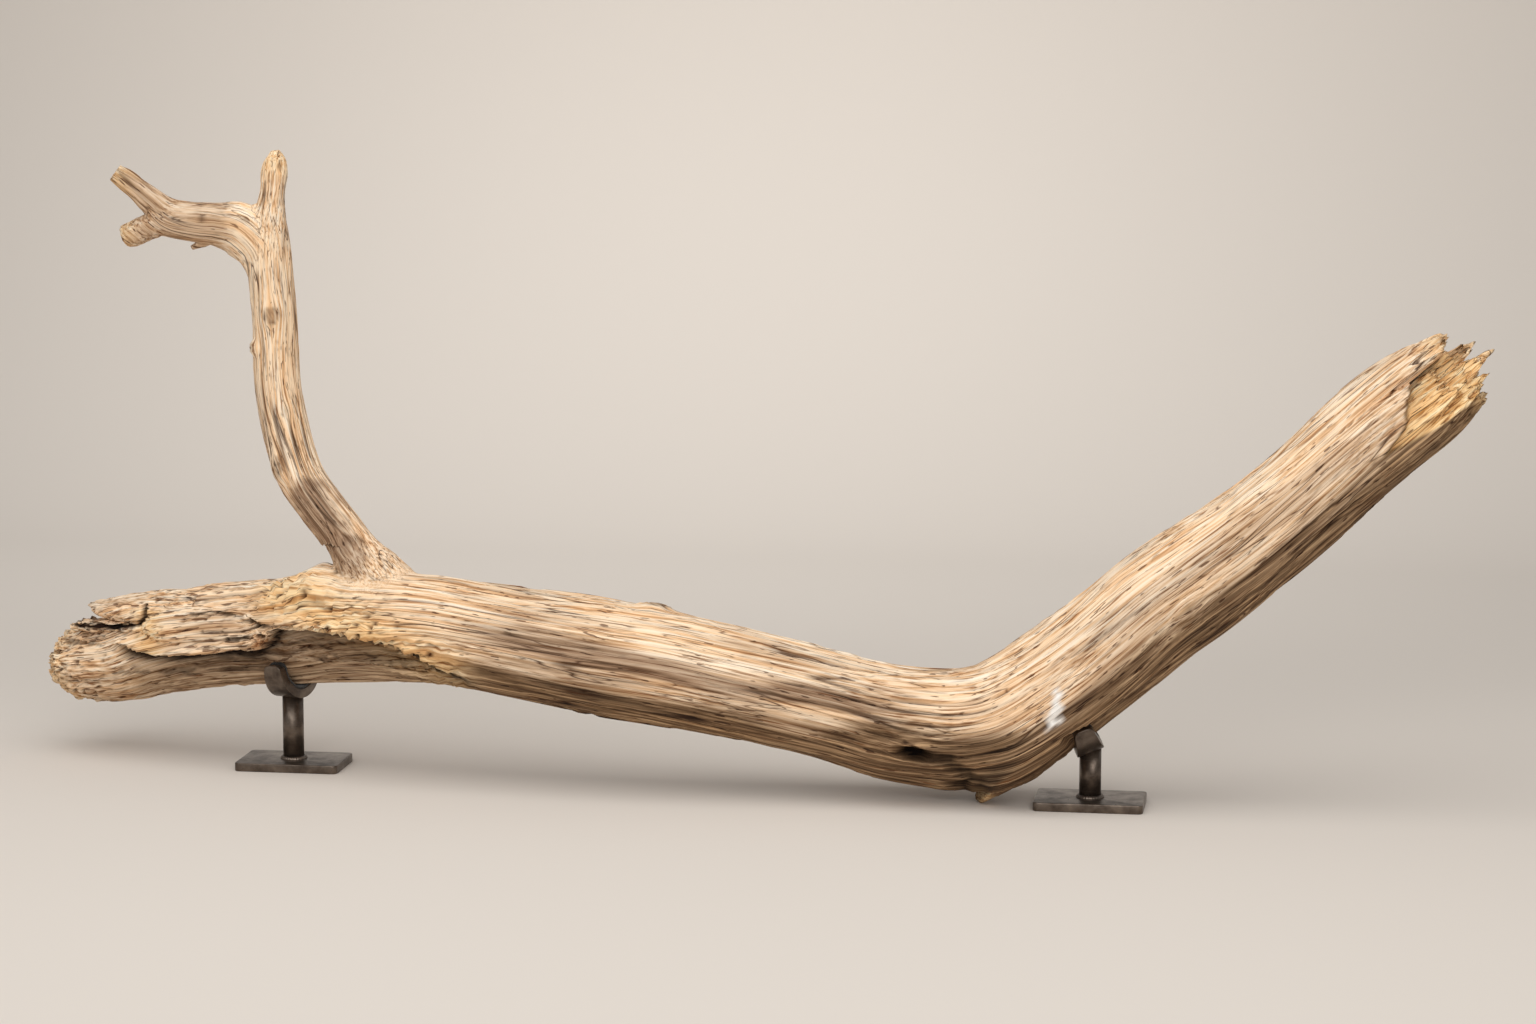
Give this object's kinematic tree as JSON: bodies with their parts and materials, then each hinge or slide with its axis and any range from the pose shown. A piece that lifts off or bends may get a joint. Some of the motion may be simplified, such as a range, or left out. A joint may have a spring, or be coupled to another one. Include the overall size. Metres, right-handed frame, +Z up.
{
  "type": "driftwood log on two steel stands",
  "caption": "Weathered driftwood log with a rising limb and a forked side branch, resting in two small steel cradle stands.",
  "frame": {"origin": "middle of the underside of the whole object's box, on the surface that the stands' plates rest on", "axes": "+X along the log towards its raised broken end, +Y from the front of the display towards its back, +Z up"},
  "size_m": [1.3696, 0.2102, 0.586],
  "materials": {
    "driftwood": "sea-worn bare wood, matt, pale straw with grey-brown weathered patches and dark cracks",
    "dark_steel": "blackened and waxed mild steel, satin",
    "weld_bead": "bare weld bead, satin",
    "liner": "black felt"
  },
  "bodies": {
    "root": {"driftwood": "driftwood", "left_base_plate": "dark_steel", "left_post": "dark_steel", "left_foot_weld": "weld_bead", "left_cradle": "dark_steel", "left_cradle_liner": "liner", "right_base_plate": "dark_steel", "right_post": "dark_steel", "right_foot_weld": "weld_bead", "right_cradle": "dark_steel", "right_cradle_liner": "liner"}
  },
  "joints": []
}
